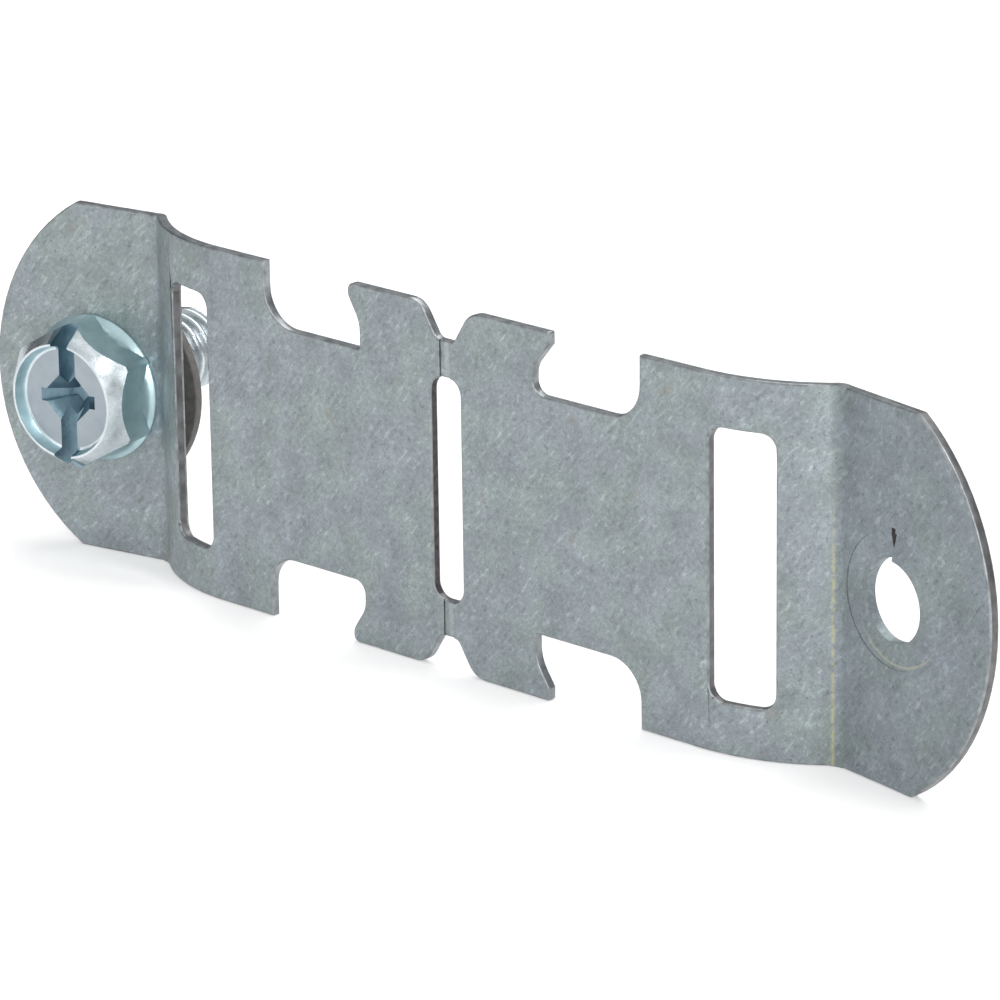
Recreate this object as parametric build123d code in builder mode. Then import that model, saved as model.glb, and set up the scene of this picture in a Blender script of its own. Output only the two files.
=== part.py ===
from build123d import *
from math import cos, radians, sin, tan
import os

# Conduit clamp for slotted channel, laid open as it is sold: one stamped strap, one captive
# machine screw in the left tab and the washer that keeps the screw there.
# Frame (mm): X along the strap (+X is the end with the threaded hole), +Y to the back (the side
# that closes on the conduit), Z up across the strap. The origin is the middle of the flat panel,
# half way through the sheet.

# sheet
WIDTH = 33.3
THICK = 0.95
HALF_W = WIDTH / 2
HALF_T = THICK / 2
CUT_PAST = 3  # how far a cutter runs past the sheet

# plan view, followed along the middle of the sheet
FLAT_HALF = 28.7
BEND_R = 17.25
BEND_ANGLE = 38.2
FOLD_ANGLE = 48.5
FOLD_R = {-1: 1.7, 1: 2.2}
FOLD_CORNER = 1.08  # straight slope from the curve's end to the corner of the fold
FOLD_CORNER_RUN = 0.95  # the same stretch in u, the distance followed along the flat blank
END_U = 60.3
END_ARC_R = 19.5
END_ARC_RISE = 0.2
END_CUT_IN = 10.25  # how far in from the tip the round end reaches the long edges
TAB_ANGLE = FOLD_ANGLE - BEND_ANGLE
BEND_END_X = FLAT_HALF + BEND_R * sin(radians(BEND_ANGLE))
BEND_END_Y = BEND_R * (1 - cos(radians(BEND_ANGLE)))
CORNER_U = FLAT_HALF + BEND_R * radians(BEND_ANGLE) + FOLD_CORNER_RUN
CORNER_X = BEND_END_X + FOLD_CORNER * cos(radians(BEND_ANGLE))
CORNER_Y = BEND_END_Y + FOLD_CORNER * sin(radians(BEND_ANGLE))

# edge notches that make the neck and the hooks
MIDDLE_U = -0.2
NECK_HALF = HALF_W - 5.85
NOTCH_OUT = 22.2
HOOK_ROOT = 10.3
HOOK_ROOT_V = HALF_W - 3.4
HOOK_TIP_V = HALF_W - 1.15
# no two notches are alike: (side, edge) gives the hook's reach and the radii of the outer corner,
# the inner corner, the hook's root, the underside of its tip and the tip's own corner
NOTCHES = {
    (-1, 1): (1.35, (3.4, 0.35, 3.0, 1.0, 0.7)),
    (1, 1): (1.9, (3.2, 1.2, 2.0, 0.3, 0.2)),
    (-1, -1): (1.5, (2.9, 1.2, 2.2, 1.0, 0.65)),
    (1, -1): (1.5, (3.4, 0.35, 3.8, 0.3, 0.2)),
}
MIDDLE_FLOOR_V = HALF_W - 3.1
MIDDLE_FLOOR_HALF = 1.0
MIDDLE_FLOOR_ROUND = 0.8
MIDDLE_SHOULDER = 2.95
MIDDLE_SHOULDER_ROUND = 2.2
CREASE_W = 1.2
CREASE_D = 0.12

# slots
MIDDLE_SLOT_W = 3.5
MIDDLE_SLOT_H = WIDTH - 12.9
SIDE_SLOT_U = {-1: (29.7, 35.6), 1: (29.8, 35.95)}
SIDE_SLOT_H = WIDTH - 9.1
SLOT_CORNER = 1.4

# holes in the tabs
CLEAR_HOLE_U = 48.6
CLEAR_HOLE_R = 5.0
THREAD_HOLE_U = 48.3
THREAD_HOLE_V = -0.15
THREAD_HOLE_R = 3.6
COLLAR_R = 5.9
COLLAR_RISE = 1.0
COLLAR_STEPS = 24
COLLAR_GAP_ANGLE = 4
COLLAR_LAP = 0.25
COLLAR_FOOT_HALF_T = 0.42
SLIT_W = 0.45

# screw and washer
AXIS_U = 48.95
AXIS_V = -0.8
THREAD_R = 3.97
THREAD_LEN = 15.9
POINT_CHAMFER = 0.7
HEX_FLATS = 11.1
HEAD_H = 5.5
RIM_R = 6.6
RIM_H = 0.45
# the head's crown, turned over the hexagon: (radius, depth below the top)
CROWN = ((6.45, 3.0), (5.62, 1.5), (5.45, 0))
DISH_R = 5.25
DISH_FLOOR_R = 4.95
DISH_D = 1.15
HEAD_GAP = 0.03
DRIVE_TURN = -3.5
DRIVE_SLOT_W = 1.85
DRIVE_SLOT_D = 1.3
CROSS_ARM_W = 1.15
CROSS_LEN = 6.2
CROSS_D = 2.4
CROSS_FOOT = (2.2, 0.7)
STAR_SIDE = 4.35  # square pit between the arms of the cross, corners on the arms
STAR_FOOT = 1.2
WASHER_R = 10.35
WASHER_BORE = 4.02
WASHER_T = 1.0
WASHER_GAP = 0.45


def tab_plane(side, u, v=0.0):
    """Plane on the middle of the sheet of one tab: z points to the front, x out along the tab."""
    run = u - CORNER_U
    x = side * (CORNER_X + run * cos(radians(TAB_ANGLE)))
    y = CORNER_Y - run * sin(radians(TAB_ANGLE))
    outward = (side * cos(radians(TAB_ANGLE)), -sin(radians(TAB_ANGLE)), 0)
    front = (-side * sin(radians(TAB_ANGLE)), -cos(radians(TAB_ANGLE)), 0)
    return Plane(origin=(x, y, v), x_dir=outward, z_dir=front)


def half_ribbon(side):
    """The strap seen from above, from its middle out to one end: flat, bend, slope, fold and tab."""
    fold_reach = FOLD_R[side] * tan(radians(FOLD_ANGLE / 2))
    ends = []
    with BuildSketch(Plane.XY, mode=Mode.PRIVATE) as plan:
        with BuildLine():
            for face in (-1, 1):
                flat = Line((0, face * HALF_T), (side * FLAT_HALF, face * HALF_T))
                bend = JernArc(flat @ 1, flat % 1, BEND_R - face * HALF_T, side * BEND_ANGLE)
                slope = Line(bend @ 1, (bend @ 1) + (bend % 1) * (FOLD_CORNER - fold_reach))
                fold = JernArc(slope @ 1, slope % 1, FOLD_R[side] + face * HALF_T, -side * FOLD_ANGLE)
                tab = Line(fold @ 1, (fold @ 1) + (fold % 1) * (END_U - CORNER_U - fold_reach))
                ends.append(tab @ 1)
            Line(ends[0], ends[1])
            Line((0, -HALF_T), (0, HALF_T))
        make_face()
    return plan.sketch


def edge_notch(side, edge, reach, rounds):
    """One notch in a long edge: side -1 left or +1 right, edge +1 upper or -1 lower. Reach is how
    far the hook's tip stands out, rounds are the radii from the outer corner to the hook's tip."""
    top = HALF_W + CUT_PAST
    root = HOOK_ROOT + side * MIDDLE_U
    tip = root + reach
    corners = [
        (NOTCH_OUT, NECK_HALF), (root, NECK_HALF), (root, HOOK_ROOT_V), (tip, HOOK_TIP_V), (tip, HALF_W),
    ]
    behind = root - CUT_PAST / 2
    points = [(NOTCH_OUT, top), *corners, (behind, HALF_W), (behind, top)]
    with BuildSketch(Plane.XZ, mode=Mode.PRIVATE) as outline:
        Polygon(*[(side * a, edge * b) for a, b in points], align=None)
        for (a, b), radius in zip(corners, rounds):
            corner = outline.vertices().sort_by_distance((side * a, edge * b, 0))[0]
            fillet(corner, radius)
    return outline.sketch


def middle_notch(edge):
    """The small round-shouldered notch above and below the middle slot."""
    top = HALF_W + CUT_PAST
    wide = 2 * CUT_PAST
    right = [
        (wide, top), (wide, HALF_W), (MIDDLE_SHOULDER, HALF_W), (MIDDLE_FLOOR_HALF, MIDDLE_FLOOR_V),
    ]
    left = [(-a, b) for a, b in reversed(right)]
    with BuildSketch(Plane.XZ, mode=Mode.PRIVATE) as outline:
        Polygon(*[(a + MIDDLE_U, edge * b) for a, b in right + left], align=None)
        for (a, b), radius in ((right[2], MIDDLE_SHOULDER_ROUND), (right[3], MIDDLE_FLOOR_ROUND)):
            for mirrored in (a, -a):
                corner = outline.vertices().sort_by_distance((mirrored + MIDDLE_U, edge * b, 0))[0]
                fillet(corner, radius)
    return outline.sketch


def side_slot(side):
    """Cutter for the tall slot in the curved part, its walls square to the curve."""
    start, stop = [(u - FLAT_HALF) / BEND_R for u in SIDE_SLOT_U[side]]
    middle = (start + stop) / 2
    near, far = BEND_R - CUT_PAST, BEND_R + CUT_PAST

    def on_arc(radius, angle):
        return (side * (FLAT_HALF + radius * sin(angle)), BEND_R - radius * cos(angle))

    with BuildPart(mode=Mode.PRIVATE) as cutter:
        with BuildSketch(Plane.XY):
            with BuildLine():
                Line(on_arc(near, start), on_arc(far, start))
                ThreePointArc(on_arc(far, start), on_arc(far, middle), on_arc(far, stop))
                Line(on_arc(far, stop), on_arc(near, stop))
                ThreePointArc(on_arc(near, stop), on_arc(near, middle), on_arc(near, start))
            make_face()
        extrude(amount=SIDE_SLOT_H / 2, both=True)
        corners = cutter.edges().filter_by(GeomType.LINE).filter_by(Axis.Z, reverse=True)
        fillet(corners, SLOT_CORNER)
    return cutter.part


# the strap: a ribbon of sheet with the bends in it, then everything that is punched out
with BuildPart() as strap:
    for side in (-1, 1):
        extrude(half_ribbon(side), amount=HALF_W, both=True)

    for (side, edge), (reach, rounds) in NOTCHES.items():
        extrude(edge_notch(side, edge, reach, rounds), amount=CUT_PAST, both=True, mode=Mode.SUBTRACT)
    for edge in (-1, 1):
        extrude(middle_notch(edge), amount=CUT_PAST, both=True, mode=Mode.SUBTRACT)

    with BuildSketch(Plane.XZ):
        with Locations((MIDDLE_U, 0)):
            RectangleRounded(MIDDLE_SLOT_W, MIDDLE_SLOT_H, SLOT_CORNER)
    extrude(amount=CUT_PAST, both=True, mode=Mode.SUBTRACT)

    for side in (-1, 1):
        add(side_slot(side), mode=Mode.SUBTRACT)

    # round ends
    for side in (-1, 1):
        with BuildSketch(tab_plane(side, END_U)):
            with Locations((-END_CUT_IN, 0)):
                Rectangle(END_CUT_IN + CUT_PAST, WIDTH + CUT_PAST, align=(Align.MIN, Align.CENTER))
            with Locations((-END_ARC_R, END_ARC_RISE)):
                Circle(END_ARC_R, mode=Mode.SUBTRACT)
        extrude(amount=CUT_PAST, both=True, mode=Mode.SUBTRACT)

    # the crease over and under the middle slot, pressed in from the front
    for edge in (-1, 1):
        with Locations((MIDDLE_U, -HALF_T, edge * (MIDDLE_SLOT_H / 2 + MIDDLE_FLOOR_V) / 2)):
            Box(CREASE_W, 2 * CREASE_D, MIDDLE_FLOOR_V - MIDDLE_SLOT_H / 2 + 1, mode=Mode.SUBTRACT)

    # clearance hole for the captive screw
    with BuildSketch(tab_plane(-1, CLEAR_HOLE_U)):
        Circle(CLEAR_HOLE_R)
    extrude(amount=CUT_PAST, both=True, mode=Mode.SUBTRACT)

    # threaded hole: the sheet around it is pressed into one turn of a right-hand helix
    hole = tab_plane(1, THREAD_HOLE_U, THREAD_HOLE_V)
    with BuildSketch(hole):
        Circle(COLLAR_R)
    extrude(amount=CUT_PAST, both=True, mode=Mode.SUBTRACT)
    lip = THREAD_HOLE_R - 0.3
    foot = COLLAR_R + COLLAR_LAP
    with BuildPart(mode=Mode.PRIVATE) as collar:
        for step in range(COLLAR_STEPS + 1):
            turned = COLLAR_GAP_ANGLE + (360 - 2 * COLLAR_GAP_ANGLE) * step / COLLAR_STEPS
            angle = radians(90 - turned)
            rise = COLLAR_RISE * (0.5 - turned / 360)
            radial = hole.x_dir * cos(angle) + hole.y_dir * sin(angle)
            with BuildSketch(Plane(origin=hole.origin, x_dir=radial, z_dir=radial.cross(hole.z_dir))):
                Polygon(
                    (lip, rise - HALF_T), (foot, -COLLAR_FOOT_HALF_T),
                    (foot, COLLAR_FOOT_HALF_T), (lip, rise + HALF_T), align=None,
                )
        loft()
    add(collar.part)
    with BuildSketch(hole):
        Circle(THREAD_HOLE_R)
    extrude(amount=CUT_PAST, both=True, mode=Mode.SUBTRACT)
    with BuildSketch(hole):
        with Locations((0, (THREAD_HOLE_R + COLLAR_R) / 2)):
            Rectangle(SLIT_W, COLLAR_R - THREAD_HOLE_R + 0.8)
    extrude(amount=CUT_PAST, both=True, mode=Mode.SUBTRACT)

# the screw, in the left tab, with z of its plane out of the head
seat = tab_plane(-1, AXIS_U, AXIS_V).offset(HALF_T + HEAD_GAP)
through = Plane(origin=seat.origin, x_dir=seat.x_dir, z_dir=seat.y_dir * -1)
screw_axis = Axis(seat.origin, seat.z_dir)
with BuildPart() as screw:
    with BuildSketch(seat):
        RegularPolygon(HEX_FLATS / 2, 6, major_radius=False, rotation=30)
    extrude(amount=HEAD_H)
    with BuildSketch(through):
        crown = [(radius, HEAD_H - depth) for radius, depth in CROWN]
        Polygon((0, 0), (HEX_FLATS, 0), *crown, (0, HEAD_H), align=None)
    revolve(axis=screw_axis, mode=Mode.INTERSECT)
    with BuildSketch(through):
        Polygon(
            (0, RIM_H), (RIM_R, RIM_H), (RIM_R, 0), (THREAD_R, 0), (THREAD_R, POINT_CHAMFER - THREAD_LEN),
            (THREAD_R - POINT_CHAMFER, -THREAD_LEN), (0, -THREAD_LEN), align=None,
        )
    revolve(axis=screw_axis)
    with BuildSketch(through):
        floor_h = HEAD_H - DISH_D
        Polygon((0, floor_h), (DISH_FLOOR_R, floor_h), (DISH_R, HEAD_H), (0, HEAD_H), align=None)
    revolve(axis=screw_axis, mode=Mode.SUBTRACT)
    dish = seat.offset(floor_h)
    with BuildSketch(dish.offset(-DRIVE_SLOT_D)):
        Rectangle(DRIVE_SLOT_W, 3 * RIM_R, rotation=DRIVE_TURN)
    extrude(amount=DRIVE_SLOT_D + 2 * DISH_D, mode=Mode.SUBTRACT)
    with BuildSketch(dish):
        Rectangle(STAR_SIDE, STAR_SIDE, rotation=DRIVE_TURN + 45)
    with BuildSketch(dish.offset(-CROSS_D)):
        Rectangle(STAR_FOOT, STAR_FOOT, rotation=DRIVE_TURN + 45)
    loft(mode=Mode.SUBTRACT)
    with BuildSketch(dish):
        Rectangle(CROSS_LEN, CROSS_ARM_W, rotation=DRIVE_TURN)
    with BuildSketch(dish.offset(-CROSS_D)):
        Rectangle(*CROSS_FOOT, rotation=DRIVE_TURN)
    loft(mode=Mode.SUBTRACT)

# the washer that keeps the screw in the tab
under = tab_plane(-1, AXIS_U, AXIS_V).offset(-HALF_T - WASHER_GAP)
with BuildPart(under) as retaining_washer:
    Cylinder(WASHER_R, WASHER_T, align=(Align.CENTER, Align.CENTER, Align.MAX))
    Cylinder(WASHER_BORE, 3 * WASHER_T, mode=Mode.SUBTRACT)

strap.part.label = "strap"
screw.part.label = "screw"
retaining_washer.part.label = "retaining_washer"
for made in (strap.part, screw.part, retaining_washer.part):
    box = made.bounding_box()
    low = [round(v, 2) for v in box.min]
    high = [round(v, 2) for v in box.max]
    print(made.label, len(made.solids()), "solid, valid", made.is_valid)
    print("  mm3", round(made.volume, 1), "from", low, "to", high)

os.makedirs("parts", exist_ok=True)
export_step(strap.part, "parts/strap.step")
export_step(screw.part, "parts/screw.step")
export_step(retaining_washer.part, "parts/retaining_washer.step")
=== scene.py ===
# %% [markdown]
# # A conduit clamp, rendered as it is sold
# The real thing is a strip of galvanised sheet, punched and folded, with a plated screw waiting in
# one tab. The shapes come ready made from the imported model, so this lesson is about three things:
# a camera that sees what the photograph saw, finishes that read as zinc, and the few forms, such
# as a screw thread, that are better made here than in the solids.

# %% The frame
import collections
import math

import bmesh
import bpy
from mathutils import Matrix, Vector


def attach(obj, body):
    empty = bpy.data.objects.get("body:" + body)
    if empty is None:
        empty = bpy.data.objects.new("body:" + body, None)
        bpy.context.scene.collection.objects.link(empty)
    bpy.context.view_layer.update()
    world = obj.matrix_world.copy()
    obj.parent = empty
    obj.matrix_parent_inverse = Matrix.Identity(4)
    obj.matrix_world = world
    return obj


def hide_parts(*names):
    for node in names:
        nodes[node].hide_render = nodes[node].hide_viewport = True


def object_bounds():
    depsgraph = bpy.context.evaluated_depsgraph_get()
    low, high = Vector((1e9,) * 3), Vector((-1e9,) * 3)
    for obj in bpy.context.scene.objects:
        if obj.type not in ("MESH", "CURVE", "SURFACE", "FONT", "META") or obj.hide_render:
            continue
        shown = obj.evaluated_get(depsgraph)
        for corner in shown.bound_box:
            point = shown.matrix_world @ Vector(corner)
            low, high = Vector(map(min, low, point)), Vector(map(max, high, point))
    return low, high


MM = 0.001
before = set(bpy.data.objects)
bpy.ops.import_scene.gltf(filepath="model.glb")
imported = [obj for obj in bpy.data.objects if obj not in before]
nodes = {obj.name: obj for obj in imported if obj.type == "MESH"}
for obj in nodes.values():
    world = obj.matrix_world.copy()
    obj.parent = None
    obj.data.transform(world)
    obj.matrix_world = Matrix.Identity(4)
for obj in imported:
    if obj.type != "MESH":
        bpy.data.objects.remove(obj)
cad_box = [list(corner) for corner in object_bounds()]
print("nodes:", sorted(nodes))
print("box in mm:", [[round(v / MM, 2) for v in corner] for corner in cad_box])

# %% [markdown]
# The camera comes first, because everything after it is judged through it. A catalogue picture
# like this is taken from far off with a long lens: the near end is only a little larger than the
# far one. The lens and the place are plain numbers, and the camera is turned by giving it its own
# right, up and backward directions, which keeps the small roll that an aimed camera would lose.

# %% The camera
LENS_MM = 202.93
CAMERA_AT = Vector((0.321590, -0.335907, 0.152965))
RIGHT = Vector((0.731467, 0.681743, -0.013514))
UP = Vector((-0.204951, 0.238714, 0.949216))
BACKWARD = Vector((0.650347, -0.691550, 0.314335))

camera_data = bpy.data.cameras.new("camera")
camera_data.lens = LENS_MM
camera_data.sensor_width = 36.0
camera_data.clip_start = 0.05
camera_data.clip_end = 10.0
camera = bpy.data.objects.new("camera", camera_data)
turned = Matrix((RIGHT, UP, BACKWARD)).transposed().to_4x4()
camera.matrix_world = Matrix.Translation(CAMERA_AT) @ turned
bpy.context.scene.collection.objects.link(camera)
bpy.context.scene.camera = camera
print("camera", round(CAMERA_AT.length, 3), "m away, lens", LENS_MM, "mm")

# %% [markdown]
# The clamp stands on its long lower edge on a pale sweep. Real paper in a studio is lit until it
# turns white. A large plane does the same with less light when it glows a little by itself, and
# it still takes the soft shadow that sets the clamp down.

# %% The floor
FLOOR_Z = cad_box[0][2]
FLOOR_GAP = 0.05 * MM
FLOOR_SIZE = 8.0
PAPER_GREY = 0.70
PAPER_GLOW = 0.34

bpy.ops.mesh.primitive_plane_add(size=FLOOR_SIZE, location=(0, 0, FLOOR_Z - FLOOR_GAP))
floor = bpy.context.object
floor.name = "floor"
paper = bpy.data.materials.new("pale_paper")
paper.use_nodes = True
paper_shader = paper.node_tree.nodes["Principled BSDF"]
paper_shader.inputs["Base Color"].default_value = (PAPER_GREY, PAPER_GREY, PAPER_GREY, 1)
paper_shader.inputs["Emission Color"].default_value = (1, 1, 1, 1)
paper_shader.inputs["Emission Strength"].default_value = PAPER_GLOW
paper_shader.inputs["Roughness"].default_value = 0.95
paper_shader.inputs["Specular IOR Level"].default_value = 0.0
floor.data.materials.append(paper)
print("floor at", round(FLOOR_Z / MM, 2), "mm")

# %% [markdown]
# Bare metal shows what is around it more than what shines on it. So there are two kinds of light:
# four soft boxes that shape the sheet, and a world that is brightest above the camera and dims away
# from there, which gives the plating something to mirror.


# %% The lamps
def soft_box(name, at, size, watts):
    """A square lamp at one point, turned to the middle of the clamp."""
    data = bpy.data.lights.new(name, "AREA")
    data.size = size
    data.energy = watts
    lamp = bpy.data.objects.new(name, data)
    lamp.location = at
    lamp.rotation_mode = "QUATERNION"
    lamp.rotation_quaternion = (-Vector(at)).to_track_quat("-Z", "Y")
    bpy.context.scene.collection.objects.link(lamp)


lamps = (
    ("overhead", (-0.15, 0.45, 0.9), 0.9, 7.5),
    ("front_left", (-0.38, -0.85, 0.30), 0.40, 1.2),
    ("front_right", (0.78, -0.62, 0.32), 0.40, 4.0),
    ("high_right", (0.62, 0.02, 0.80), 0.30, 3.0),
)
for lamp in lamps:
    soft_box(*lamp)
print(len(lamps), "soft boxes")

# %% The world
BRIGHT_TOWARD = (0.35, -0.52, 0.78)
BRIGHT_FROM = 0.85
DIM_GREY = (0.16, 0.17, 0.18, 1)
WORLD_STRENGTH = 0.8

world = bpy.data.worlds.new("studio")
world.use_nodes = True
sky = world.node_tree.nodes
links = world.node_tree.links
where = sky.new("ShaderNodeTexCoord")
toward = sky.new("ShaderNodeVectorMath")
toward.operation = "DOT_PRODUCT"
toward.inputs[1].default_value = BRIGHT_TOWARD
shade = sky.new("ShaderNodeValToRGB")
dim, bright = shade.color_ramp.elements
dim.position = 0.0
dim.color = DIM_GREY
bright.position = BRIGHT_FROM
bright.color = (1.0, 1.0, 1.0, 1)
links.new(where.outputs["Generated"], toward.inputs[0])
links.new(toward.outputs["Value"], shade.inputs["Fac"])
links.new(shade.outputs["Color"], sky["Background"].inputs["Color"])
sky["Background"].inputs["Strength"].default_value = WORLD_STRENGTH
bpy.context.scene.world = world
bpy.context.scene.view_settings.view_transform = "Standard"
print("world of strength", WORLD_STRENGTH)

# %% [markdown]
# Every finish here is a Principled shader fed by a few noises, so one small helper keeps the node
# work readable: it adds a node, sets what is named, and hands it back. All noises read the
# object's own coordinates, so a finish stays put on the metal when the view or the pose changes.


# %% The helper for finishes
class Finish:
    """A material under construction, with short ways to add its nodes."""

    def __init__(self, name):
        self.material = bpy.data.materials.new(name)
        self.material.use_nodes = True
        self.tree = self.material.node_tree
        self.shader = self.tree.nodes["Principled BSDF"]
        self.place = self.tree.nodes.new("ShaderNodeTexCoord").outputs["Object"]

    def node(self, kind, **settings):
        made = self.tree.nodes.new(kind)
        for key, value in settings.items():
            setattr(made, key, value)
        return made

    def link(self, source, target):
        self.tree.links.new(source, target)

    def noise(self, size_mm, detail=2.0, roughness=0.5, vector=None):
        """Noise with blobs about size_mm across."""
        made = self.node("ShaderNodeTexNoise")
        made.inputs["Scale"].default_value = 1.0 / (size_mm * MM)
        made.inputs["Detail"].default_value = detail
        made.inputs["Roughness"].default_value = roughness
        self.link(vector or self.place, made.inputs["Vector"])
        return made.outputs["Fac"]

    def ramp(self, source, *stops):
        """A colour ramp; each stop is a position and a grey or a colour."""
        made = self.node("ShaderNodeValToRGB")
        elements = made.color_ramp.elements
        while len(elements) < len(stops):
            elements.new(1.0)
        for element, (position, value) in zip(elements, stops):
            colour = (value, value, value) if isinstance(value, float) else value
            element.position = position
            element.color = (*colour, 1)
        self.link(source, made.inputs["Fac"])
        return made.outputs["Color"]

    def mix(self, amount, first, second, blend="MIX"):
        """Two colours mixed; amount is a number or a socket."""
        made = self.node("ShaderNodeMix", data_type="RGBA", blend_type=blend)
        sockets = made.inputs[0], made.inputs[6], made.inputs[7]
        for socket, value in zip(sockets, (amount, first, second)):
            if isinstance(value, (int, float)):
                socket.default_value = value
            elif isinstance(value, tuple):
                socket.default_value = (*value, 1)
            else:
                self.link(value, socket)
        return made.outputs[2]

    def both(self, first, second):
        """White only where two masks are white."""
        return self.mix(1.0, first, second, "MULTIPLY")

    def faded(self, mask, strength):
        """A mask at a part of its strength."""
        return self.mix(strength, (0, 0, 0), mask)

    def bump(self, height, depth_mm, under=None):
        """Relief from a height; under is a relief that this one lies on."""
        made = self.node("ShaderNodeBump")
        made.inputs["Strength"].default_value = 1.0
        made.inputs["Distance"].default_value = depth_mm * MM
        self.link(height, made.inputs["Height"])
        if under is not None:
            self.link(under, made.inputs["Normal"])
        return made.outputs["Normal"]

    def set(self, **values):
        """Plain numbers on the shader's own sockets."""
        for key, value in values.items():
            self.shader.inputs[key].default_value = value


print("finish helper ready")

# %% [markdown]
# Galvanised sheet is grey, but never one grey. Up close it drifts between a bluish and a greenish
# grey every few millimetres, with paler and darker clouds in it. One wide noise gives the drift and
# a narrower one the clouds. An Overlay lays a grey over a colour without changing its tint: a middle
# grey leaves it as it is, a paler one lifts it and a darker one lowers it.

# %% The sheet's greys
SHEET_BLUE = (0.268, 0.300, 0.324)
SHEET_GREEN = (0.262, 0.302, 0.300)

sheet = Finish("galvanised_sheet")
drift = sheet.noise(6.0, detail=3.0, roughness=0.6)
grey = sheet.ramp(drift, (0.38, SHEET_BLUE), (0.62, SHEET_GREEN))
cloud = sheet.ramp(sheet.noise(2.8), (0.25, 0.41), (0.75, 0.59))
grey = sheet.mix(0.8, grey, cloud, "OVERLAY")
print("sheet ground with", len(sheet.tree.nodes), "nodes")

# %% [markdown]
# Fine strokes slant across the sheet, and between them it is dimpled and grainy. The strokes are a
# noise that reads turned and stretched coordinates, so that its blobs become short streaks. The same
# three layers serve again below as relief, which keeps what is pale and what is raised together.

# %% Strokes, dimples and grain
STROKE_TURN = math.radians(-48)
STROKE_STRETCH = (3.0, 1.0, 0.9)


def stretched(finish, turn, scale):
    """The object's coordinates, so that a pattern is turned and then stretched along its axes."""
    mapping = finish.node("ShaderNodeMapping", vector_type="TEXTURE")
    mapping.inputs["Rotation"].default_value = turn
    mapping.inputs["Scale"].default_value = scale
    finish.link(finish.place, mapping.inputs["Vector"])
    return mapping.outputs["Vector"]


slant = stretched(sheet, (0, STROKE_TURN, 0), STROKE_STRETCH)
stroke_noise = sheet.noise(0.45, roughness=0.55, vector=slant)
strokes = sheet.ramp(stroke_noise, (0.28, 0.34), (0.41, 0.5), (0.58, 0.5), (0.68, 0.70))
dimples = sheet.ramp(sheet.noise(0.55, roughness=0.6), (0.30, 0.38), (0.70, 0.62))
grain = sheet.ramp(sheet.noise(0.20, roughness=0.7), (0.30, 0.36), (0.70, 0.64))
for layer, strength in ((strokes, 0.68), (dimples, 0.45), (grain, 0.50)):
    grey = sheet.mix(strength, grey, layer, "OVERLAY")
print("three fine layers added")

# %% [markdown]
# The sheet is peppered with flecks a quarter to a third of a millimetre wide, pale where the zinc is
# bright and dark where it is pitted. A Voronoi texture is made for this: the distance to the middle
# of a cell gives a round dot, and the cell's own random colour decides whether it is shown at all.
# Scuffs and stains have no shape of their own, so they are the peaks of a noise.

# %% Flecks, pits, scuffs and stains
FLECK = (0.44, 0.48, 0.51)
PIT = (0.105, 0.115, 0.12)
SCUFF = (0.17, 0.185, 0.19)
STAIN = (0.27, 0.22, 0.17)


def specks(finish, cell_mm, radius_mm, share, shift_mm):
    """White dots: one in a share of the cells, each about radius_mm in radius."""
    moved = finish.node("ShaderNodeVectorMath", operation="ADD")
    moved.inputs[1].default_value = (shift_mm * MM, shift_mm * MM, shift_mm * MM)
    finish.link(finish.place, moved.inputs[0])
    cells = finish.node("ShaderNodeTexVoronoi")
    cells.inputs["Scale"].default_value = 1.0 / (cell_mm * MM)
    finish.link(moved.outputs[0], cells.inputs["Vector"])
    edge_at = radius_mm / cell_mm
    dots = finish.ramp(cells.outputs["Distance"], (edge_at * 0.5, 1.0), (edge_at, 0.0))
    chosen = finish.ramp(cells.outputs["Color"], (1.0 - share - 0.02, 0.0), (1.0 - share, 1.0))
    return finish.both(dots, chosen)


flecks = specks(sheet, cell_mm=0.55, radius_mm=0.13, share=0.30, shift_mm=3.0)
pits = specks(sheet, cell_mm=0.85, radius_mm=0.16, share=0.24, shift_mm=11.0)
scuffs = sheet.ramp(sheet.noise(0.7, roughness=0.75), (0.64, 0.0), (0.70, 0.50))
stains = sheet.ramp(sheet.noise(2.6), (0.70, 0.0), (0.76, 0.28))
grey = sheet.mix(sheet.faded(flecks, 0.34), grey, FLECK)
grey = sheet.mix(sheet.faded(pits, 0.55), grey, PIT)
grey = sheet.mix(scuffs, grey, SCUFF)
grey = sheet.mix(stains, grey, STAIN)
print("flecks, pits, scuffs and stains added")

# %% [markdown]
# Some marks sit at one place on the strap, so they need masks made from the object's own lengths. A
# colour ramp is too coarse for that: its table has 256 steps for a whole metre, and a mark is far
# narrower than one of them. Map Range and Math nodes work on the exact number instead.


# %% Masks from lengths
def between(finish, source, black_at, white_at):
    """A mask that runs from black at one value to white at another."""
    made = finish.node("ShaderNodeMapRange")
    made.inputs["From Min"].default_value = black_at
    made.inputs["From Max"].default_value = white_at
    finish.link(source, made.inputs["Value"])
    return made.outputs["Result"]


def arithmetic(finish, kind, source, value=0.0):
    """One step of arithmetic on a source."""
    made = finish.node("ShaderNodeMath", operation=kind)
    made.inputs[1].default_value = value
    finish.link(source, made.inputs[0])
    return made.outputs[0]


def band(finish, source, middle, half_width):
    """White where a length is at middle, fading to black half_width away from it."""
    off = arithmetic(finish, "ABSOLUTE", arithmetic(finish, "SUBTRACT", source, middle))
    return between(finish, off, half_width, 0.0)


apart = sheet.node("ShaderNodeSeparateXYZ")
sheet.link(sheet.place, apart.inputs["Vector"])
along = apart.outputs["X"]
height = apart.outputs["Z"]
outward = arithmetic(sheet, "ABSOLUTE", along)
print("mask helpers ready")

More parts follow.
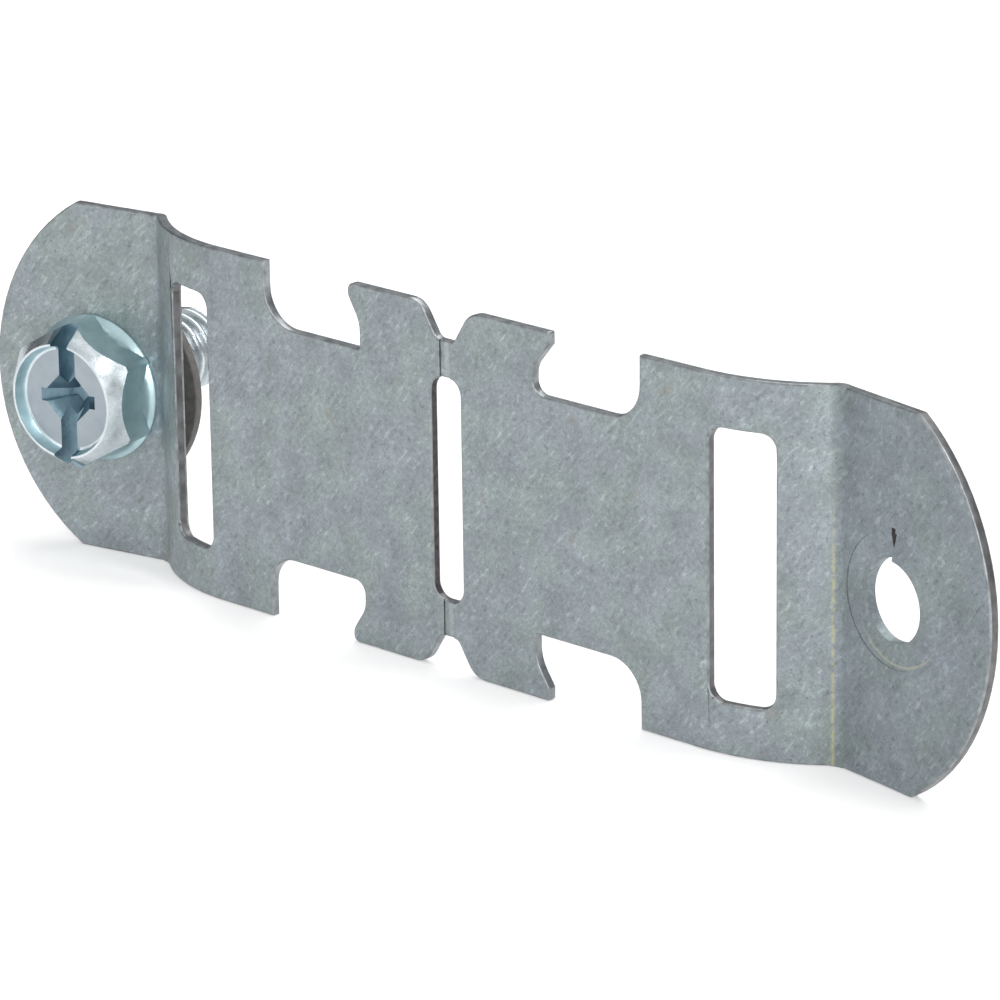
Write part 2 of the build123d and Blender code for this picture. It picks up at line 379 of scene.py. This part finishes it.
# %% [markdown]
# The bottom of each fold has a thin broken yellowish line, where the coating was squeezed, and it
# fades out toward the top. Past the right fold the threaded tab is darker in the photograph than
# the lamps alone make it, so the grey there is multiplied down, which keeps its flecks and strokes.

# %% The fold lines and the darker tab
FOLD_LINE_AT = 40.05 * MM
FOLD_LINE_HALF = 0.24 * MM
FOLD_YELLOW = (0.47, 0.46, 0.26)
TAB_SHADE = (0.84, 0.85, 0.87)

past_fold = between(sheet, along, FOLD_LINE_AT - 0.2 * MM, FOLD_LINE_AT + 0.5 * MM)
grey = sheet.mix(past_fold, grey, sheet.mix(1.0, grey, TAB_SHADE, "MULTIPLY"))
broken = sheet.ramp(sheet.noise(0.7, detail=3.0, roughness=0.75), (0.40, 0.0), (0.55, 1.0))
low_part = between(sheet, height, 9.0 * MM, 1.0 * MM)
fold_line = sheet.both(band(sheet, outward, FOLD_LINE_AT, FOLD_LINE_HALF), broken)
fold_line = sheet.faded(sheet.both(fold_line, low_part), 0.75)
grey = sheet.mix(fold_line, grey, FOLD_YELLOW)
print("fold lines at", round(FOLD_LINE_AT / MM, 2), "mm on both sides")

# %% [markdown]
# Two more pale lines sit where the strap was pressed. The crease in the middle, where the strap is to be
# bent double, gets a painted highlight along it, and the ring pressed round the threaded hole left a
# fine pale arc under the hole.

# %% The painted crease highlight and the pressed ring
CREASE_LINE_AT = 0.10 * MM
CREASE_LINE_HALF = 0.28 * MM
CREASE_HIGHLIGHT = (0.44, 0.46, 0.47)
THREAD_HOLE_X = 47.25 * MM
THREAD_HOLE_Z = -0.15 * MM
RING_R = 6.05 * MM
RING_HALF = 0.14 * MM
RING_PALE = (0.50, 0.48, 0.34)

# Painted highlight: a pale line along the middle crease.
crease_highlight = sheet.faded(band(sheet, outward, CREASE_LINE_AT, CREASE_LINE_HALF), 0.5)
grey = sheet.mix(crease_highlight, grey, CREASE_HIGHLIGHT)
from_hole = sheet.node("ShaderNodeVectorMath", operation="DISTANCE")
sheet.link(sheet.place, from_hole.inputs[0])
from_hole.inputs[1].default_value = (THREAD_HOLE_X, 0.0, THREAD_HOLE_Z)
ring = band(sheet, from_hole.outputs["Value"], RING_R, RING_HALF)
under_hole = between(sheet, height, -2.5 * MM, -4.5 * MM)
ring = sheet.faded(sheet.both(ring, under_hole), 0.50)
grey = sheet.mix(ring, grey, RING_PALE)
sheet.link(grey, sheet.shader.inputs["Base Color"])
print("ring of", round(RING_R / MM, 2), "mm")

# %% [markdown]
# The colour is done, and the shine comes next. Zinc is neither a mirror nor paint: its shine drifts
# a little, and its relief is a few hundredths of a millimetre. It is set a little short of fully
# metallic, because its dull skin also scatters light like a plain surface does.

# %% Shine and relief of the sheet
shine = sheet.ramp(sheet.noise(1.4, detail=3.0, roughness=0.6), (0.3, 0.44), (0.7, 0.58))
sheet.link(shine, sheet.shader.inputs["Roughness"])
relief = sheet.bump(dimples, 0.020, under=sheet.bump(grain, 0.010))
sheet.link(sheet.bump(strokes, 0.035, under=relief), sheet.shader.inputs["Normal"])
sheet.set(Metallic=0.75)
print("sheet finish with", len(sheet.tree.nodes), "nodes")

# %% [markdown]
# The walls that a punch leaves in the slots and at the strap's round ends are darker than the face,
# because steel shows where the zinc was cut through. The other edges, and the rounded corners
# between wall and face, are burnished instead. So there are two finishes for edges. A third, nearly
# black, is for the slit over the threaded hole and for the one wall of the centre slot that faces
# the threaded tab, where only shade is seen.

# %% Cut walls, burnished corners and the slit
CUT = (0.10, 0.10, 0.10), (0.205, 0.205, 0.21)
RUBBED = (0.185, 0.20, 0.21), (0.32, 0.34, 0.35)
SHADED = (0.035, 0.030, 0.030), (0.09, 0.08, 0.08)

wall = Finish("punched_wall")
cut_grey = wall.ramp(wall.noise(1.4, detail=3.0, roughness=0.55), (0.30, CUT[0]), (0.70, CUT[1]))
wall.link(cut_grey, wall.shader.inputs["Base Color"])
wall.set(Metallic=0.8, Roughness=0.45)

corner = Finish("burnished_edge")
rubbing = corner.noise(1.1, detail=3.0, roughness=0.6)
rubbed_grey = corner.ramp(rubbing, (0.35, RUBBED[0]), (0.65, RUBBED[1]))
corner.link(rubbed_grey, corner.shader.inputs["Base Color"])
corner.set(Metallic=0.8, Roughness=0.38)

slit = Finish("slit_shade")
shade_grey = slit.ramp(slit.noise(0.5), (0.3, SHADED[0]), (0.7, SHADED[1]))
slit.link(shade_grey, slit.shader.inputs["Base Color"])
slit.set(Metallic=0.5, Roughness=0.6)
print("wall, corner and slit finishes ready")

# %% [markdown]
# The screw is bright zinc, smoother than the sheet and a little blue. Its recesses get a darker, nearly
# teal copy of the plating, which is painted shade. The sides get a cooler copy, which is a painted
# reflection, and the floor of the dish a duller, darker one, which is painted shade. One function makes
# all four from two tints and a shine.

# %% The screw's plating
def plating_finish(name, pale_film, deep_film, rough):
    made = Finish(name)
    film = made.ramp(made.noise(2.2, detail=3.0, roughness=0.55), (0.3, deep_film), (0.7, pale_film))
    made.link(film, made.shader.inputs["Base Color"])
    low, high = rough
    shine = made.ramp(made.noise(0.7, detail=3.0, roughness=0.6), (0.3, low), (0.7, high))
    made.link(shine, made.shader.inputs["Roughness"])
    relief = made.bump(made.noise(0.9, detail=3.0, roughness=0.55), 0.035)
    made.link(relief, made.shader.inputs["Normal"])
    made.set(Metallic=1.0)
    return made


plating = plating_finish("bright_zinc", (0.66, 0.71, 0.74), (0.50, 0.57, 0.60), (0.24, 0.36))
# Painted shade: a darker, nearly teal copy of the plating for the recesses.
recess = plating_finish("bright_zinc_recess_painted_shade", (0.24, 0.34, 0.39), (0.14, 0.22, 0.27), (0.28, 0.42))
# Painted shade: a darker, duller copy of the same zinc for the floor of the dish.
face_shade_plating = plating_finish("bright_zinc_face_painted_shade", (0.36, 0.395, 0.43), (0.31, 0.355, 0.39), (0.34, 0.44))
# Painted reflection: a cooler, more teal copy of the same zinc for the sides, the dish wall and the
# foot.
side_reflection_plating = plating_finish("bright_zinc_side_painted_reflection", (0.64, 0.82, 0.86), (0.46, 0.64, 0.68), (0.30, 0.42))
print("four platings ready")

# %% [markdown]
# The washer is a ring of dull dark fibre, which is why it almost disappears behind the slot. It is
# the one finish on the clamp that isn't metal, and needs only a felted colour and a little relief.

# %% The washer's fibre
FIBRE = (0.10, 0.095, 0.09), (0.15, 0.142, 0.134)

dark = Finish("dark_fibre")
felt = dark.ramp(dark.noise(0.6, detail=3.0, roughness=0.6), (0.3, FIBRE[0]), (0.7, FIBRE[1]))
dark.link(felt, dark.shader.inputs["Base Color"])
dark.link(dark.bump(dark.noise(0.4, roughness=0.6), 0.03), dark.shader.inputs["Normal"])
dark.set(Roughness=0.7)
print("washer finish ready")

# %% [markdown]
# The strap and the washer keep their own solids. What they lack is the small rounding that a press
# leaves on every edge, and that rounding is what catches the light. A Weld joins the faces that the
# file keeps apart, a Decimate set to dissolve turns each flat back into one face, and a Bevel then
# rounds the corners. It finds them by an angle limit, or, where an angle isn't enough to go by, it
# takes the edges that carry a weight. It may give its own faces a finish of their own.

# %% Rounding edges
WELD_WITHIN = 0.002 * MM
FLAT_WITHIN = math.radians(0.4)


def rounded_edges(piece, width_mm, segments=2, angle=50, marked=False, finish_index=-1):
    """Round a piece's true corners, or only its marked edges."""
    weld = piece.modifiers.new("weld", "WELD")
    weld.merge_threshold = WELD_WITHIN
    flats = piece.modifiers.new("flats", "DECIMATE")
    flats.decimate_type = "DISSOLVE"
    flats.angle_limit = FLAT_WITHIN
    flats.delimit = {"MATERIAL"}
    bevel = piece.modifiers.new("rounding", "BEVEL")
    bevel.width = width_mm * MM
    bevel.segments = segments
    bevel.limit_method = "WEIGHT" if marked else "ANGLE"
    bevel.angle_limit = math.radians(angle)
    bevel.harden_normals = True
    bevel.use_clamp_overlap = not marked
    bevel.material = finish_index


print("edge helper ready")

# %% [markdown]
# Which faces of the strap are cut walls can be worked out, because the sheet's own direction is known
# at every point: it faces the front on the panel, turns along the bend, and is turned back by a fixed
# angle on the tabs. A face whose own direction lies across the sheet's was made by a punch.

# %% The sheet's own direction
FLAT_TO = 28.7 * MM
BEND_R = 17.25 * MM
BEND_SINE_MAX = 0.62
FOLD_AT = 40.2 * MM
TAB_TURN = math.radians(10.3)


def sheet_normal(at):
    """The direction that the sheet's front faces near a point."""
    side = 1 if at.x > 0 else -1
    x = abs(at.x)
    if x < FLAT_TO:
        return Vector((0, -1, 0))
    if x < FOLD_AT:
        turn = math.asin(min(BEND_SINE_MAX, (x - FLAT_TO) / BEND_R))
        return Vector((side * math.sin(turn), -math.cos(turn), 0))
    return Vector((-side * math.sin(TAB_TURN), -math.cos(TAB_TURN), 0))


print("tabs turned back by", round(math.degrees(TAB_TURN), 1), "degrees")

# %% Which finish a wall has
WALL, EDGE, SLIT = 1, 2, 3
SLOT_END_Z = 12.2 * MM
CENTRE_SLOT_X = 2.6 * MM
SIDE_SLOT_FROM, SIDE_SLOT_TO = 27.5 * MM, 37.5 * MM
END_ARC_FROM = 45 * MM


def wall_finish(at, normal):
    """Slots and end arcs are raw, one wall of the centre slot is shaded, the rest is burnished."""
    in_centre = abs(at.x) < CENTRE_SLOT_X
    in_side = SIDE_SLOT_FROM < abs(at.x) < SIDE_SLOT_TO
    in_slot = abs(at.z) < SLOT_END_Z and (in_centre or in_side)
    if in_slot and in_centre and normal.x > 0.7:
        return SLIT
    return WALL if in_slot or abs(at.x) > END_ARC_FROM else EDGE


def place_key(mesh, first, second):
    """Where an edge is, so that edges of neighbouring faces can be told to be one."""
    grid = 0.004 * MM
    places = [tuple(round(v / grid) for v in mesh.vertices[i].co) for i in (first, second)]
    return tuple(sorted(places))


print("finishes by number: sheet 0, wall", WALL, "edge", EDGE, "slit", SLIT)

# %% The strap
STANDS_ACROSS = 0.35
FOLD_FROM, FOLD_TO = 39.2 * MM, 42.4 * MM
CREASE_TO = 0.8 * MM
RING_CLEAR_R = 7.0 * MM
SLIT_HALF = 0.5 * MM
SLIT_R_FROM, SLIT_R_TO = 3.6 * MM, 6.8 * MM

strap = nodes["strap"]
strap.data.materials.clear()
for finish in (sheet, wall, corner, slit):
    strap.data.materials.append(finish.material)
wall_edges = set()
for face in strap.data.polygons:
    at = face.center
    across = abs(face.normal.dot(sheet_normal(at))) < STANDS_ACROSS
    by_press = FOLD_FROM < abs(at.x) < FOLD_TO or abs(at.x) < CREASE_TO
    pressed = by_press and abs(face.normal.z) < 0.5
    from_axis = math.hypot((at.x - THREAD_HOLE_X) / math.cos(TAB_TURN), at.z - THREAD_HOLE_Z)
    if across and not pressed and from_axis > RING_CLEAR_R:
        face.material_index = wall_finish(at, face.normal)
        wall_edges.update(place_key(strap.data, *pair) for pair in face.edge_keys)
    over_hole = abs(at.x - THREAD_HOLE_X) < SLIT_HALF and at.z > 0
    if across and over_hole and SLIT_R_FROM < from_axis < SLIT_R_TO:
        face.material_index = SLIT
print("strap:", len(strap.data.polygons), "faces,", len(wall_edges), "edges on its punched walls")

# %% [markdown]
# An angle limit would also catch the tiny edges of the formed thread hole, and they would hold back
# the rounding everywhere else. So the strap's edges are marked instead: those of the punched walls
# that run along the sheet get a weight. The model's faces come apart, so an edge with a single face
# is a border between two faces of the solid. The borders that aren't rounded are marked sharp, which
# keeps smooth shading from running across the pressed ring.

# %% Rounding the strap
ALONG_SHEET = 0.12
STRAP_ROUNDING_MM = 0.18

weight = strap.data.attributes.new("bevel_weight_edge", "FLOAT", "EDGE")
uses = collections.Counter(pair for face in strap.data.polygons for pair in face.edge_keys)
rounded = 0
for edge in strap.data.edges:
    edge.use_edge_sharp = uses[edge.key] == 1
    start, end = [strap.data.vertices[i].co for i in edge.vertices]
    along_way = (end - start).normalized()
    flat = abs(along_way.dot(sheet_normal((start + end) / 2))) < ALONG_SHEET
    if flat and place_key(strap.data, *edge.vertices) in wall_edges:
        weight.data[edge.index].value = 1.0
        edge.use_edge_sharp = False
        rounded += 1
rounded_edges(strap, STRAP_ROUNDING_MM, 3, marked=True, finish_index=EDGE)
print(rounded, "edges rounded")

# %% [markdown]
# The washer is a plain ring, and its solid is already right. It gets its fibre and a soft edge, which
# the angle limit finds without help.

# %% The washer
washer = nodes["retaining_washer"]
washer.data.materials.clear()
washer.data.materials.append(dark.material)
rounded_edges(washer, 0.12)
print("washer:", len(washer.data.polygons), "faces")

# %% [markdown]
# The screw has to be made again, because its solid has a plain shank and a smaller head. Everything
# about it is told in its own frame: z out of the head, x outward along the tab, and the origin under
# the head. Its place on the tab is measured as on the flat strip: the tab begins at a known point and
# a known length from the strap's middle, and the screw stands further out by the difference.

# %% The screw's own frame
TAB_BEGINS = Vector((40.216, 4.362)) * MM
TAB_BEGINS_U = 41.151
AXIS_U, AXIS_V = 48.95, -0.8
SHEET_MM = 0.95
HEAD_GAP = 0.03

run = (AXIS_U - TAB_BEGINS_U) * MM
outward_way = Vector((-math.cos(TAB_TURN), -math.sin(TAB_TURN), 0))
front_way = Vector((math.sin(TAB_TURN), -math.cos(TAB_TURN), 0))
third_way = front_way.cross(outward_way)
seat_x = -TAB_BEGINS.x - run * math.cos(TAB_TURN)
seat_y = TAB_BEGINS.y - run * math.sin(TAB_TURN)
seat_at = Vector((seat_x, seat_y, AXIS_V * MM)) + front_way * (SHEET_MM / 2 + HEAD_GAP) * MM
seat = Matrix.Translation(seat_at) @ Matrix((outward_way, third_way, front_way)).transposed().to_4x4()
print("seat in mm", [round(v / MM, 2) for v in seat_at])


# %% A piece in the screw's frame
def new_piece(name, mesh, *finishes):
    """A mesh made in the screw's own frame, shown at its seat."""
    for finish in finishes:
        mesh.materials.append(finish.material)
    piece = bpy.data.objects.new(name, mesh)
    bpy.context.scene.collection.objects.link(piece)
    piece.matrix_world = seat
    return piece


print("piece helper ready")

# %% [markdown]
# The thread could be a profile swept along a helix, but its faces would cross at the tip and under
# the head. Here it is a grid wrapped round the shank instead. Its rows climb one pitch per turn, so
# that each row is a true helix, and the profile across the rows gives crest, flank and root.

# %% The thread's profile
PITCH = 1.411 * MM
CREST_R, ROOT_R = 3.97 * MM, 3.20 * MM
CREST_SHARE, FLANK_SHARE = 0.10, 0.74
ROUNDNESS = 0.35


def thread_radius(share):
    """Radius over one pitch: a narrow crest, straight flanks and a rounded root."""
    rise = abs(share - 0.5) * 2
    flank = min(1.0, max(0.0, (rise - CREST_SHARE) / FLANK_SHARE))
    eased = flank * flank * (3 - 2 * flank)
    return CREST_R + (ROOT_R - CREST_R) * (eased * ROUNDNESS + flank * (1 - ROUNDNESS))


print("thread is", round((CREST_R - ROOT_R) / MM, 2), "mm deep")

# %% The thread's grid
SHANK_TOP = 0.3 * MM
SHANK_END = -15.9 * MM
TIP_CHAMFER = 0.75 * MM
AROUND, ACROSS = 96, 10


def thread_grid():
    """Vertices and faces of the shank, one row for each step of the profile."""
    rows = int((SHANK_TOP - SHANK_END) / PITCH + 3) * ACROSS
    verts, faces = [], []
    for row in range(rows + 1):
        for step in range(AROUND):
            z = SHANK_END - PITCH + PITCH * (row / ACROSS + step / AROUND)
            chamfered = CREST_R - TIP_CHAMFER + max(0.0, z - SHANK_END)
            radius = min(thread_radius((row / ACROSS) % 1.0), chamfered)
            z = min(SHANK_TOP, max(SHANK_END, z))
            turn = 2 * math.pi * step / AROUND
            verts.append((radius * math.cos(turn), radius * math.sin(turn), z))
    for row in range(rows):
        for step in range(AROUND):
            after = (step + 1) % AROUND
            climb = ACROSS if after == 0 else 0
            if row + climb + 1 <= rows:
                a, b = row * AROUND + step, (row + climb) * AROUND + after
                faces.append((a, b, b + AROUND, a + AROUND))
    return verts, faces


thread_verts, thread_faces = thread_grid()
print("thread grid:", len(thread_verts), "points")

# %% [markdown]
# The grid runs past both ends of the shank and is pressed flat there, which leaves points on top of
# each other. They are merged, and the open tip is closed by a fan of triangles.

# %% The thread
SAME_POINT = 1e-7
AT_TIP = 1e-6

thread_mesh = bpy.data.meshes.new("screw_thread")
thread_mesh.from_pydata(thread_verts, [], thread_faces)
thread_mesh.validate()
shaped = bmesh.new()
shaped.from_mesh(thread_mesh)
bmesh.ops.remove_doubles(shaped, verts=shaped.verts, dist=SAME_POINT)
tip = shaped.verts.new((0, 0, SHANK_END))
borders = [edge for edge in shaped.edges if edge.is_boundary]
rim = [edge for edge in borders if all(v.co.z < SHANK_END + AT_TIP for v in edge.verts)]
for edge in rim:
    shaped.faces.new((edge.verts[0], edge.verts[1], tip))
bmesh.ops.recalc_face_normals(shaped, faces=shaped.faces)
for face in shaped.faces:
    face.smooth = True
shaped.to_mesh(thread_mesh)
shaped.free()
thread = new_piece("screw_thread", thread_mesh, plating)
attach(thread, "screw")
print("thread:", len(thread.data.polygons), "faces")

# %% [markdown]
# The head is cut the way it is made. A hexagon is forged with a flared foot, a die turned over it
# leaves the round crown and the curved corners and presses a dish into the top, and then the slot,
# the cross and the pyramid between its arms are struck in. Booleans say exactly that, and a Bevel at
# the end gives the softness of plating. They need only two kinds of solid: turned ones and blocks
# that narrow downward.


# %% Turned solids and tapered blocks
def as_object(name, shaped, turn=0.0):
    """An object from a shape, turned about its upright axis."""
    bmesh.ops.recalc_face_normals(shaped, faces=shaped.faces)
    mesh = bpy.data.meshes.new(name)
    shaped.to_mesh(mesh)
    shaped.free()
    made = bpy.data.objects.new(name, mesh)
    made.rotation_euler = (0, 0, turn)
    bpy.context.scene.collection.objects.link(made)
    return made


def turned_solid(name, profile_mm, around=96, turn=0.0):
    """A closed solid of revolution; the profile is (radius, z) in mm and is capped at both ends."""
    shaped = bmesh.new()
    rings = []
    for radius, z in profile_mm:
        angles = [2 * math.pi * (i + 0.5) / around for i in range(around)]
        ring = [(radius * math.cos(a) * MM, radius * math.sin(a) * MM, z * MM) for a in angles]
        rings.append([shaped.verts.new(point) for point in ring])
    for low, high in zip(rings, rings[1:]):
        for i in range(around):
            j = (i + 1) % around
            shaped.faces.new((low[i], low[j], high[j], high[i]))
    shaped.faces.new(rings[0])
    shaped.faces.new(rings[-1])
    return as_object(name, shaped, turn)


def tapered(name, top_mm, foot_mm, z_top, z_foot, turn):
    """A block that narrows downward; top and foot are (length, width)."""
    shaped = bmesh.new()
    corners = []
    for (length, width), z in ((top_mm, z_top), (foot_mm, z_foot)):
        for sx, sy in ((-1, -1), (1, -1), (1, 1), (-1, 1)):
            corners.append(shaped.verts.new((sx * length / 2 * MM, sy * width / 2 * MM, z)))
    shaped.faces.new(corners[:4])
    shaped.faces.new(corners[4:])
    for i in range(4):
        j = (i + 1) % 4
        shaped.faces.new((corners[i], corners[j], corners[4 + j], corners[4 + i]))
    return as_object(name, shaped, turn)


print("solid helpers ready")

# %% The forged blank and its dies
ACROSS_FLATS_MM = 12.35
CORNER_R_MM = ACROSS_FLATS_MM / 2 / math.cos(math.pi / 6)
HEAD_H_MM = 5.5
HEAD_TURN = math.radians(3)
CROWN = ((7.0, -1), (7.0, 3.30), (6.45, 4.00), (6.05, 4.60), (5.72, 5.15), (5.45, 5.5))
FLARE = ((6.95, 0.0), (6.95, 0.26), (6.82, 0.40), (6.64, 0.55), (6.46, 0.78), (6.32, 1.10), (6.12, 1.60))
DISH = ((4.70, 4.35), (4.92, 4.42), (5.08, 4.70), (5.26, 5.6))

blank = ((CORNER_R_MM, 0.1), (CORNER_R_MM, HEAD_H_MM + 1))
hexagon = turned_solid("hexagon", blank, around=6, turn=HEAD_TURN)
crown = turned_solid("crown", CROWN)
flare = turned_solid("flare", FLARE)
dish = turned_solid("dish", DISH)
print("head is", round(2 * CORNER_R_MM, 2), "mm over its corners before the crown cuts them")

# %% The slot, the cross and the pyramid
DISH_FLOOR = 4.35 * MM
SLOT_TOP_MM, SLOT_FOOT_MM = (2.0, 16), (1.7, 16)
CROSS_TOP_MM, CROSS_FOOT_MM = (6.9, 1.35), (2.2, 0.7)
STAR_TOP_MM, STAR_FOOT_MM = (5.0, 5.0), (1.2, 1.2)
OVER_HEAD = (HEAD_H_MM + 1) * MM
SLOT_FLOOR = DISH_FLOOR - 1.3 * MM
BRINK = DISH_FLOOR + 0.5 * MM
PIT_FLOOR = DISH_FLOOR - 2.4 * MM

slot_cut = tapered("slot_cut", SLOT_TOP_MM, SLOT_FOOT_MM, OVER_HEAD, SLOT_FLOOR, HEAD_TURN)
cross_cut = tapered("cross_cut", CROSS_TOP_MM, CROSS_FOOT_MM, BRINK, PIT_FLOOR, HEAD_TURN)
star_turn = HEAD_TURN + math.pi / 4
star_cut = tapered("star_cut", STAR_TOP_MM, STAR_FOOT_MM, BRINK, PIT_FLOOR, star_turn)
print("recess is", round((DISH_FLOOR - PIT_FLOOR) / MM, 2), "mm deep under the dish")

# %% Cutting the head
tools = [("INTERSECT", crown), ("UNION", flare), ("DIFFERENCE", dish), ("DIFFERENCE", slot_cut),
         ("DIFFERENCE", cross_cut), ("DIFFERENCE", star_cut)]
for operation, tool in tools:
    cut = hexagon.modifiers.new(tool.name, "BOOLEAN")
    cut.operation = operation
    cut.object = tool
    cut.solver = "EXACT"
bpy.context.view_layer.update()
depsgraph = bpy.context.evaluated_depsgraph_get()
head_mesh = bpy.data.meshes.new_from_object(hexagon.evaluated_get(depsgraph))
for spent in [hexagon] + [tool for _, tool in tools]:
    bpy.data.objects.remove(spent)
print("head cut:", len(head_mesh.polygons), "faces")

# %% [markdown]
# The cut mesh doesn't remember which tool made a face, but the place of a face tells it: deep and near
# the axis is recess, level with the dish's floor is the face, upright and outside is a side. The recess
# and the face get the copies with painted shade, the sides the one with a painted reflection. What is
# left, the crown above all, keeps the brightest plating.

# %% Which plating a face has
PLATED, RECESS_PAINTED_SHADE, FACE, SIDE = range(4)
LEVEL_WITHIN = 0.02 * MM
STRUCK_FROM, STRUCK_R = 1 * MM, 5.0 * MM
SLOT_FROM, SLOT_HALF = 2.9 * MM, 1.05 * MM
DISH_WALL_FROM, DISH_WALL_R = 4.4 * MM, 5.2 * MM
FOOT_TO = 1.4 * MM
FLANK_TO = 4.6 * MM


def head_finish(at, normal):
    """The plating of a face, told by its place in the screw's own frame."""
    radius = math.hypot(at.x, at.y)
    from_slot = abs(at.x * math.cos(HEAD_TURN) + at.y * math.sin(HEAD_TURN))
    struck = STRUCK_FROM < at.z < DISH_FLOOR - LEVEL_WITHIN and radius < STRUCK_R
    if struck or (at.z > SLOT_FROM and from_slot < SLOT_HALF):
        return RECESS_PAINTED_SHADE
    if abs(at.z - DISH_FLOOR) < LEVEL_WITHIN and normal.z > 0.9:
        return FACE
    dish_wall = radius < DISH_WALL_R and at.z > DISH_WALL_FROM and abs(normal.z) < 0.9
    flank = abs(normal.z) < 0.02 and at.z < FLANK_TO
    return SIDE if dish_wall or flank or at.z < FOOT_TO else PLATED


print("platings by number: plated", PLATED, "recessed", RECESS_PAINTED_SHADE, "face", FACE, "side", SIDE)

# %% The head
head_mesh.name = "screw_head"
head_mesh.materials.clear()
head = new_piece("screw_head", head_mesh, plating, recess, face_shade_plating, side_reflection_plating)
# Recess and face get plating with painted shade, the sides plating with a painted reflection.
for face in head.data.polygons:
    face.use_smooth = True
    face.material_index = head_finish(face.center, face.normal)
rounded_edges(head, 0.13, 3, 24)
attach(head, "screw")
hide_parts("screw")
print("head:", len(head.data.polygons), "faces before rounding")
